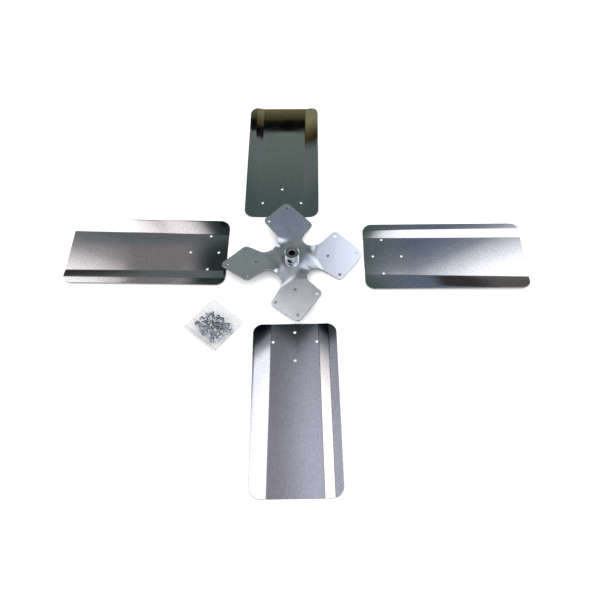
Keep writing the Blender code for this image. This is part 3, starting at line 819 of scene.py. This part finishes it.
def film_mesh(name, form, cell):
    """One film of the bag, with how far each point is creased or welded kept on it."""
    inset = BAG_HALF - BAG_CORNER
    edge = FILM_THICKNESS / 2
    outline = rounded_box(-inset, inset, inset, BAG_CORNER - edge)
    rim = []
    for (x, y), (u, v) in zip(outline, outline[1:] + outline[:1]):
        steps = max(1, round(hypot(u - x, v - y) / cell))
        rim.extend((x + (u - x) * k / steps, y + (v - y) * k / steps) for k in range(steps))
    mesh = formed_sheet(name, rim, [], [], cell, form, 0.0, FILM_THICKNESS, edge)
    crease = mesh.attributes.new("crease", "FLOAT", "POINT")
    weld = mesh.attributes.new("weld", "FLOAT", "POINT")
    for i, vertex in enumerate(mesh.vertices):
        x, y = vertex.co.x, vertex.co.y
        crease.data[i].value = film_fold(x, y) * film_edge_share(x, y)
        off_seam = min(abs(x - SEAM_X), abs(y - SEAM_Y))
        rim_share = 1 - (BAG_HALF - max(abs(x), abs(y))) / RIM_WELD
        weld.data[i].value = max(1 - smoothstep(off_seam / SEAM_HALF), smoothstep(rim_share))
    return mesh


# Materials

# Most of a noise's values lie in this range.
NOISE_RANGE = (0.3, 0.7)

# The boss's tool marks to the metre, how far the painted shade at its mouths reaches past the bore
# and past the set screw, and the black of that painted shade.
TOOL_LINES = 4200.0
BORE_SHADE = (0.45 * MM, 0.3 * MM)
HOLE_SHADE = (1.7 * MM, 1.2 * MM)
PAINTED_SHADE_BLACK = (0.008, 0.009, 0.012)


class Nodes:
    """Short calls for the node tree of one material."""

    def __init__(self, name):
        self.material = bpy.data.materials.new(name)
        self.material.use_nodes = True
        self.tree = self.material.node_tree
        self.shader = self.tree.nodes["Principled BSDF"]

    def feed(self, socket, value):
        if isinstance(value, bpy.types.NodeSocket):
            self.tree.links.new(value, socket)
        elif isinstance(value, tuple) and len(value) == 3 and len(socket.default_value) == 4:
            socket.default_value = (*value, 1.0)
        else:
            socket.default_value = value

    def add(self, kind, inputs=None, **values):
        """The outputs of a new node, its settings made and its inputs fed by name or number."""
        node = self.tree.nodes.new(kind)
        for key, value in values.items():
            setattr(node, key, value)
        for key, value in (inputs or {}).items():
            self.feed(node.inputs[key], value)
        return node.outputs

    def math(self, operation, a, b=0.0, clamp=False):
        return self.add("ShaderNodeMath", {0: a, 1: b}, operation=operation, use_clamp=clamp)[0]

    def plus(self, a, b):
        return self.math("ADD", a, b)

    def minus(self, a, b):
        return self.math("SUBTRACT", a, b)

    def times(self, a, b):
        return self.math("MULTIPLY", a, b)

    def most(self, a, b):
        return self.math("MAXIMUM", a, b)

    def length(self, a, b):
        return self.math("SQRT", self.plus(self.times(a, a), self.times(b, b)))

    def span(self, value, low, high, to_low=0.0, to_high=1.0, kind="SMOOTHSTEP"):
        """Carry a value from one range to another, held at its ends."""
        inputs = dict(enumerate((value, low, high, to_low, to_high)))
        return self.add("ShaderNodeMapRange", inputs, interpolation_type=kind)[0]

    def mix(self, share, a, b, kind="MIX"):
        inputs = {0: share, 6: a, 7: b}
        return self.add("ShaderNodeMix", inputs, data_type="RGBA", blend_type=kind)[2]

    def ramp(self, value, stops):
        """Grey values at given places, joined by straight lines."""
        node = self.tree.nodes.new("ShaderNodeValToRGB")
        points = node.color_ramp.elements
        while len(points) < len(stops):
            points.new(0.5)
        for point, (at, _) in zip(points, stops):
            point.position = at
        for point, (_, grey) in zip(points, stops):
            point.color = (grey, grey, grey, 1.0)
        self.feed(node.inputs[0], value)
        return node.outputs[0]

    def place(self, scale=(1.0, 1.0, 1.0)):
        """Coordinates in the piece's own metres, as it was made, stretched by a scale."""
        own = self.add("ShaderNodeAttribute", attribute_name="own_place")["Vector"]
        return self.add("ShaderNodeVectorMath", {0: own, 1: scale}, operation="MULTIPLY")[0]

    def world_place(self):
        return self.add("ShaderNodeNewGeometry")["Position"]

    def field(self, name):
        return self.add("ShaderNodeAttribute", attribute_name=name)["Fac"]

    def split(self, vector):
        return self.add("ShaderNodeSeparateXYZ", {0: vector})

    def upward(self):
        """How far the surface looks up, from one on top to minus one underneath."""
        return self.split(self.add("ShaderNodeTexCoord")["Normal"])[2]

    def noise(self, place, scale, detail, roughness):
        inputs = {"Vector": place, "Scale": scale, "Detail": detail, "Roughness": roughness}
        return self.add("ShaderNodeTexNoise", inputs)[0]

    def bump(self, height, strength, distance, **normal):
        inputs = {"Height": height, "Strength": strength, "Distance": distance, **normal}
        return self.add("ShaderNodeBump", inputs)[0]

    def set(self, **values):
        for key, value in values.items():
            self.feed(self.shader.inputs[key.replace("_", " ")], value)


def blade_material():
    """Mill-finish aluminium sheet: rolled grain along the blade, faint waves and handling haze."""
    n = Nodes("rolled_aluminium")
    streaks = n.noise(n.place((18.0, 900.0, 300.0)), 1.0, 4.0, 0.6)
    grain = n.noise(n.place((1.0, 1.3, 1.0)), 320.0, 3.0, 0.75)
    haze = n.noise(n.world_place(), 22.0, 4.0, 0.6)
    waves = n.noise(n.world_place(), 9.0, 1.0, 0.4)
    color = n.mix(n.span(streaks, *NOISE_RANGE), (0.9, 0.905, 0.915), (0.93, 0.935, 0.945))
    mottled = n.mix(1.0, color, (0.8, 0.8, 0.81), "MULTIPLY")
    color = n.mix(n.span(grain, 0.34, 0.66), mottled, color)
    # Painted shade: the cut edges and the underside are painted nearly black, for the dark rims
    # and the contact shadow along the sheet's edges.
    color = n.mix(n.span(n.upward(), 0.2, 0.8), (0.05, 0.05, 0.055), color)
    rough = n.span(haze, 0.3, 0.75, 0.035, 0.065)
    normal = n.bump(waves, 0.02, 4 * MM)
    normal = n.bump(streaks, 0.012, 0.1 * MM, Normal=normal)
    n.set(Base_Color=color, Metallic=1.0, Roughness=rough, Normal=normal)
    return n.material


def spider_material():
    """Pressed steel under bright zinc plating: soft sheen, fine orange peel."""
    n = Nodes("zinc_plated_steel")
    peel = n.noise(n.place(), 420.0, 3.0, 0.5)
    cloud = n.noise(n.place(), 35.0, 4.0, 0.6)
    # Painted shade: the underside, the hole walls and the cut edges are painted near black, for
    # the shade under the raised pads and in the holes.
    free_of_painted_shade = n.span(n.upward(), 0.1, 0.6)
    color = n.mix(n.span(cloud, *NOISE_RANGE), (0.665, 0.725, 0.79), (0.725, 0.78, 0.84))
    color = n.mix(free_of_painted_shade, (0.035, 0.035, 0.04), color)
    rough = n.span(cloud, *NOISE_RANGE, 0.185, 0.235)
    rough = n.plus(rough, n.times(n.minus(1.0, free_of_painted_shade), 0.2))
    n.set(Base_Color=color, Metallic=0.94, Roughness=rough, Normal=n.bump(peel, 0.003, 0.2 * MM))
    return n.material


def set_screw_shade(n, x, y, z):
    """One in the painted shade round the mouth of the set screw's hole, on the side of the boss
    that has it.
    """
    along_x = cos(SET_SCREW_HEADING)
    along_y = sin(SET_SCREW_HEADING)
    across = n.minus(n.times(y, along_x), n.times(x, along_y))
    off_hole = n.length(across, n.minus(z, SET_SCREW_HEIGHT))
    front = n.math("LESS_THAN", n.plus(n.times(y, -along_y), n.times(x, -along_x)), 0.0)
    hole = n.span(off_hole, *(SET_SCREW_RADIUS + past for past in HOLE_SHADE))
    return n.times(hole, front)


def boss_material():
    """Turned and plated steel: fine tool rings on the faces, streaks round the wall."""
    n = Nodes("turned_steel")
    place = n.place()
    x, y, z = n.split(place)
    radius = n.length(x, y)
    rings = n.add("ShaderNodeCombineXYZ",
                  {0: n.times(radius, TOOL_LINES), 1: n.times(z, TOOL_LINES)})[0]
    tool = n.noise(rings, 1.0, 2.0, 0.5)
    cloud = n.noise(place, 120.0, 3.0, 0.6)
    color = n.mix(n.span(cloud, *NOISE_RANGE), (0.88, 0.91, 0.94), (0.94, 0.96, 0.98))
    # Painted shade: the bore wall is painted black, for the shade inside it.
    bore = n.span(radius, *(BORE_RADIUS + past for past in BORE_SHADE))
    color = n.mix(bore, color, PAINTED_SHADE_BLACK)
    # Painted shade: a black ring round the mouth of the set screw's hole.
    color = n.mix(set_screw_shade(n, x, y, z), color, PAINTED_SHADE_BLACK)
    rough = n.span(cloud, *NOISE_RANGE, 0.1, 0.18)
    rough = n.plus(rough, n.span(n.upward(), 0.9, 0.99, 0.0, 0.1))
    n.set(Base_Color=color, Metallic=1.0, Roughness=rough, Normal=n.bump(tool, 0.12, 0.1 * MM))
    return n.material


def set_screw_material():
    """Black-oxide steel with a faint oily sheen."""
    n = Nodes("black_oxide")
    fleck = n.noise(n.place(), 900.0, 3.0, 0.6)
    color = n.mix(n.span(fleck, 0.35, 0.7), (0.004, 0.004, 0.006), (0.015, 0.015, 0.016))
    rough = n.span(fleck, *NOISE_RANGE, 0.45, 0.6)
    n.set(Base_Color=color, Roughness=rough, Specular_IOR_Level=0.08,
          Normal=n.bump(fleck, 0.2, 0.05 * MM))
    return n.material


def fastener_material():
    """Clear blue zinc plating on small screws and nuts, with dark patches."""
    n = Nodes("blue_zinc")
    cloud = n.noise(n.world_place(), 260.0, 3.0, 0.6)
    fine = n.noise(n.world_place(), 1600.0, 2.0, 0.5)
    color = n.mix(n.span(cloud, 0.42, 0.48), (0.03, 0.07, 0.1), (0.84, 0.94, 1.0))
    rough = n.span(cloud, *NOISE_RANGE, 0.05, 0.1)
    n.set(Base_Color=color, Metallic=1.0, Roughness=rough, Normal=n.bump(fine, 0.1, 0.05 * MM))
    return n.material


def film_material():
    """Clear polythene film, hazier where welded, white where creased: partly fold whitening,
    partly painted highlight.
    """
    n = Nodes("clear_film")
    cloud = n.noise(n.place(), 160.0, 4.0, 0.6)
    # The creases are painted white: partly the film's own whitening at a fold, partly painted
    # highlight.
    white = n.span(n.field("crease"), 0.55, 1.0)
    color = n.mix(white, (0.12, 0.125, 0.13), (0.92, 0.93, 0.95))
    lean = n.add("ShaderNodeLayerWeight", {"Blend": 0.3})["Facing"]
    alpha = n.plus(n.span(cloud, *NOISE_RANGE, 0.055, 0.07), n.times(lean, 0.05))
    alpha = n.plus(alpha, n.times(white, 0.3))
    alpha = n.math("ADD", alpha, n.times(n.field("weld"), 0.12), clamp=True)
    n.set(Base_Color=color, Roughness=n.span(cloud, *NOISE_RANGE, 0.1, 0.2), Alpha=alpha,
          Normal=n.bump(cloud, 0.05, 0.2 * MM))
    return n.material


# Studio


def floor_material():
    """Matt white seamless paper."""
    n = Nodes("white_paper")
    fibre = n.noise(n.world_place(), 700.0, 4.0, 0.6)
    color = n.mix(n.span(fibre, *NOISE_RANGE), (0.9, 0.9, 0.9), (0.93, 0.93, 0.93))
    n.set(Base_Color=color, Roughness=0.85, Specular_IOR_Level=0.1,
          Normal=n.bump(fibre, 0.05, 0.1 * MM))
    return n.material


def rectangle(left, right, south, north, level):
    return [(left, south, level), (right, south, level),
            (right, north, level), (left, north, level)]


def add_sheets(name, corners, faces, material):
    mesh = bpy.data.meshes.new(name)
    mesh.from_pydata(corners, [], faces)
    mesh.materials.append(material)
    return add_object(name, mesh)


def make_floor():
    corners = rectangle(-FLOOR_HALF, FLOOR_HALF, -FLOOR_HALF, FLOOR_HALF, 0)
    floor = add_sheets("studio_floor", corners, [(0, 1, 2, 3)], floor_material())
    floor.location.z = -FLOOR_DROP


# Its places are in metres from the hub, with north (Y) ahead of the camera and east (X) to
# its right; wide is the way from the middle to either side.
TENT_TOP = 1.045
TENT_NORTH = 1.48
TENT_SOUTH = -2.2
TENT_SIDE = 2.2

# The border between the cloth overhead and the dark opening ahead: where it starts, draws
# back, dips and swells, and how it falls off.
BORDER_LEVEL = 0.3
BORDER_SPREAD = 0.9
BORDER_DIP = 0.175
DIP_ZONE = [("x", -0.72, -0.6), ("x", -0.44, -0.54)]
BORDER_SWELL = 0.06
SWELL_ZONE = [("x", 0.14, 0.24), ("x", 0.5, 0.36)]
BORDER_FALL = ((0.0, 1.0), (0.4, 0.74), (0.548, 0.45), (0.714, 0.114), (0.833, 0.045), (1.0, 0.0))

# The nearly black lobe in the opening, with its tones at the rim, to the east and the west.
LOBE_X, LOBE_Y = -0.12, 0.5
LOBE_WIDTH, LOBE_DEPTH = 0.25, 0.18
LOBE_SLANT = 0.55
LOBE_RIM = (0.022, 0.031, 0.031)
LOBE_EAST = (0.003, 0.004, 0.007)
LOBE_WEST = (0.03, 0.042, 0.041)

# Tones of the tent, and coats laid over them in turn. A coat has its tone and one or more
# zones, and a zone is where all its spans hold, each from its start to where it is full.
GREY_TONE = (0.27, 0.265, 0.31)
GREY_COATS = [
    ((0.5, 0.51, 0.61), [("x", -0.09, 0.06)]),
    ((0.44, 0.45, 0.53), [("x", 0.06, 0.11)]),
]
SHADE_TONE = (0.76, 0.76, 0.76)
SHADE_ZONE = [("y", -0.1, 0.28)]
WHITE_COATS = [
    ((1.16, 1.07, 1.08), [("x", -0.14, -0.31)]),
    ((1.56, 1.48, 1.48), [("x", -0.42, -0.7), ("y", 0.5, 0.4)], [("x", -0.68, -0.84)],
     [("x", -0.28, -0.33), ("y", 0.26, 0.14)]),
    ((1.06, 1.07, 1.18), [("x", 0.125, 0.2)]),
    ((1.4, 1.4, 1.48), [("x", 0.23, 0.3), ("y", 0.32, 0.2)], [("x", 0.25, 0.45)]),
    ((1.58, 1.58, 1.66), [("x", 0.55, 0.8)]),
]
SLATE_TONE = (0.064, 0.096, 0.09)
SLATE_COATS = [
    ((0.13, 0.158, 0.14), [("y", 0.93, 1.4)]),
    ((0.118, 0.136, 0.138), [("wide", 0.22, 0.42)]),
    ((0.202, 0.19, 0.194), [("x", -0.32, -0.44), ("y", 0.84, 0.78)]),
    ((0.118, 0.144, 0.194), [("x", 0.15, 0.6)]),
    ((0.04, 0.036, 0.034), [("x", 0.64, 0.74), ("y", 1.22, 1.34)]),
    ((0.105, 0.096, 0.09), [("x", 0.88, 1.05)]),
]
GAP_TONE = (0.002, 0.002, 0.002)
GAP_ZONE = [("y", 1.432, 1.442), ("x", -0.45, -0.25), ("x", 1.0, 0.3)]
WALL_TONE = (0.142, 0.188, 0.192)
WALL_COATS = [
    ((0.215, 0.2, 0.112), [("z", 0.7, 0.88)]),
    ((0.06, 0.05, 0.02), [("z", 0.9, 1.0)]),
    (GAP_TONE, [("z", 1.008, 1.012), ("x", -0.45, -0.25)]),
]
WEST_TONE = (0.03, 0.026, 0.022)
WEST_COATS = [((0.12, 0.13, 0.125), [("z", 0.96, 1.04)])]
WEST_ZONE = [("x", -0.5, -0.75)]
EAST_COAT = ((0.125, 0.125, 0.13), [("x", 0.6, 0.9)])
WALL_ZONE = [("y", 1.476, 1.479)]
CLOTH_TONES = ((0.16, 0.17, 0.19), (0.66, 0.68, 0.72))
CLOTH_ZONES = [
    [("y", -0.34, -0.62)],
    [("wide", 0.44, 0.6), ("y", 0.27, 0.19)],
    [("wide", 1.2, 1.5), ("y", 0.9, 0.6)],
]
SIDE_TONE = (0.24, 0.25, 0.27)
SIDE_COATS = [((0.58, 0.6, 0.63), [("z", 0.1, 1.0)])]
SIDE_ZONES = [
    [("wide", TENT_SIDE - 0.01, TENT_SIDE - 0.001)],
    [("y", TENT_SOUTH + 0.01, TENT_SOUTH + 0.001)],
]


def cover(n, places, *zones):
    """One inside any of the zones, nothing outside all of them."""
    shares = []
    for zone in zones:
        spans = [n.span(places[axis], start, full) for axis, start, full in zone]
        shares.append(reduce(n.times, spans))
    return reduce(n.most, shares)


def coated(n, places, color, coats):
    """Lay the tone of each coat in turn over a colour."""
    for tone, *zones in coats:
        color = n.mix(cover(n, places, *zones), color, tone)
    return color


def overhead_share(n, places):
    """One on the cloth overhead, falling to nothing across its border with the opening."""
    x, y, wide = places["x"], places["y"], places["wide"]
    spread = n.minus(1.0, n.math("EXPONENT", n.math("DIVIDE", wide, -BORDER_SPREAD)))
    border = n.plus(BORDER_LEVEL, n.times(n.span(x, -0.1, 0.1, 0.79, 0.85), spread))
    border = n.minus(border, n.times(cover(n, places, DIP_ZONE), BORDER_DIP))
    border = n.plus(border, n.times(cover(n, places, SWELL_ZONE), BORDER_SWELL))
    past = n.minus(n.minus(y, border), n.span(wide, 0.1, 0.3, 0.05, 0.0))
    past = n.times(past, n.span(wide, 0.1, 0.3, 1.85, 1.0))
    return n.ramp(n.span(past, -0.3, 0.12, kind="LINEAR"), BORDER_FALL)


def overhead_light(n, places):
    """Grey cloth over the hub, and white cloth west and east of it."""
    grey = coated(n, places, GREY_TONE, GREY_COATS)
    shade = n.mix(1.0, grey, SHADE_TONE, "MULTIPLY")
    return coated(n, places, grey, [(shade, SHADE_ZONE), *WHITE_COATS])


def opening_light(n, places):
    """The dark opening ahead of the camera: slate, with its lobe beside the hub."""
    x, y = places["x"], places["y"]
    slanted = n.plus(n.minus(y, LOBE_Y), n.times(x, LOBE_SLANT))
    lobe = n.length(n.math("DIVIDE", n.minus(x, LOBE_X), LOBE_WIDTH),
                    n.math("DIVIDE", slanted, LOBE_DEPTH))
    slate = coated(n, places, SLATE_TONE, SLATE_COATS)
    rim = n.mix(n.span(lobe, 0.85, 1.35), LOBE_RIM, slate)
    pit = n.mix(n.span(x, -0.16, -0.26), LOBE_EAST, LOBE_WEST)
    return n.mix(n.span(lobe, 0.45, 0.85), pit, rim)


def wall_light(n, places):
    """The north sheet, with a dark gap along its top."""
    west = coated(n, places, WEST_TONE, WEST_COATS)
    return coated(n, places, WALL_TONE, [*WALL_COATS, (west, WEST_ZONE), EAST_COAT])


def tent_material():
    """The tent's light: white and grey cloth overhead, a dark opening ahead, grey sides."""
    n = Nodes("tent_light")
    place = n.add("ShaderNodeTexCoord")["Object"]
    places = dict(zip("xyz", n.split(place)))
    places["wide"] = n.math("ABSOLUTE", places["x"])
    roof = n.mix(overhead_share(n, places), opening_light(n, places), overhead_light(n, places))
    cloth = n.mix(n.span(n.noise(place, 1.1, 1.0, 0.4), 0.38, 0.62), *CLOTH_TONES)
    side = coated(n, places, SIDE_TONE, SIDE_COATS)
    light = coated(n, places, roof, [(GAP_TONE, GAP_ZONE), (cloth, *CLOTH_ZONES),
                                     (wall_light(n, places), WALL_ZONE), (side, *SIDE_ZONES)])
    glow = n.add("ShaderNodeEmission", {"Color": light, "Strength": 1.0})[0]
    n.feed(n.tree.nodes["Material Output"].inputs["Surface"], glow)
    return n.material


def make_tent():
    """The roof and the four sides of the box, without a floor."""
    plan = (-TENT_SIDE, TENT_SIDE, TENT_SOUTH, TENT_NORTH)
    corners = rectangle(*plan, TENT_TOP) + rectangle(*plan, 0.0)
    faces = [(0, 3, 2, 1), (3, 7, 6, 2), (0, 1, 5, 4), (1, 2, 6, 5), (0, 4, 7, 3)]
    tent = add_sheets("studio_tent", corners, faces, tent_material())
    tent.location = (HUB_X, HUB_Y, 0.0)
    for ray in ("camera", "diffuse", "transmission", "volume_scatter", "shadow"):
        setattr(tent, f"visible_{ray}", False)


def make_world():
    world = bpy.data.worlds.new("studio_white")
    bpy.context.scene.world = world
    world.use_nodes = True
    back = world.node_tree.nodes["Background"]
    back.inputs["Color"].default_value = WORLD_COLOR
    back.inputs["Strength"].default_value = WORLD_STRENGTH


def make_key_light():
    """A broad soft light from the upper right, for the faint shadows at the lower left."""
    data = bpy.data.lights.new("key_light", "SUN")
    data.energy = KEY_ENERGY
    data.angle = KEY_ANGLE
    lamp = add_object("key_light", data)
    lamp.rotation_euler = Vector(KEY_FROM).to_track_quat("Z", "Y").to_euler()
    lamp.visible_glossy = False


def make_camera():
    data = bpy.data.cameras.new("photo_camera")
    data.lens = CAMERA_LENS
    data.clip_start, data.clip_end = CAMERA_CLIP
    camera = add_object("photo_camera", data)
    x, y, z = CAMERA_FROM_HUB
    tilt = Matrix.Rotation(pi / 2 - CAMERA_PITCH, 4, "X")
    roll = Matrix.Rotation(CAMERA_ROLL, 4, "Z")
    camera.matrix_world = Matrix.Translation((HUB_X + x, HUB_Y + y, z)) @ tilt @ roll
    bpy.context.scene.camera = camera


# Pieces


def add_piece(name, mesh, material, nodes, matrix):
    """Lay a copy of a mesh where it belongs, on the one body, for the named CAD nodes."""
    mesh = mesh.copy()
    mesh.name = name
    own = mesh.attributes.new("own_place", "FLOAT_VECTOR", "POINT")
    for spot, vertex in zip(own.data, mesh.vertices):
        spot.vector = vertex.co
    mesh.transform(matrix)
    mesh.materials.append(material)
    piece = add_object(name, mesh)
    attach(piece, "root")
    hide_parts(*nodes)


def hub_matrix(x=0.0, y=0.0, heading=0.0):
    return Matrix.Translation((HUB_X + x, HUB_Y + y, 0.0)) @ Matrix.Rotation(heading, 4, "Z")


def bag_matrix():
    return hub_matrix(*BAG_CENTRE, BAG_TURN)


def make_bag():
    material = film_material()
    front_film_form = front_film_over(film_heights())
    for side, form, cell in (("back", back_film_form, BACK_FILM_CELL),
                             ("front", front_film_form, FILM_CELL)):
        add_piece(f"bag_{side}_sheet", film_mesh(f"{side}_sheet", form, cell), material,
                  [f"bag_{side}_film"], bag_matrix())


def make_blades():
    mesh = blade_mesh()
    material = blade_material()
    for node, (x, y, heading) in BLADE_LAYOUT.items():
        add_piece(f"{node}_sheet", mesh, material, [node],
                  hub_matrix(x, y, heading))


def make_hub():
    add_piece("hub_spider_plate", spider_mesh(), spider_material(),
              ["hub_spider"], hub_matrix(heading=SPIDER_TURN))
    add_piece("hub_boss_turned", boss_mesh(), boss_material(), ["hub_boss"],
              hub_matrix())
    add_piece("set_screw_body", set_screw_mesh(), set_screw_material(),
              ["set_screw"], hub_matrix() @ radial_matrix())


def make_fasteners():
    material = fastener_material()
    for kind, mesh in (("screw", screw_mesh()), ("nut", nut_mesh())):
        for name in sorted(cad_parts):
            if name.startswith(f"{kind}_"):
                add_piece(f"{name}_body", mesh, material, [name],
                          node_pose(name, kind == "screw"))


def main():
    bpy.context.scene.view_settings.view_transform = "Standard"
    make_camera()
    make_world()
    make_key_light()
    make_floor()
    make_tent()
    make_blades()
    make_hub()
    make_fasteners()
    make_bag()


main()
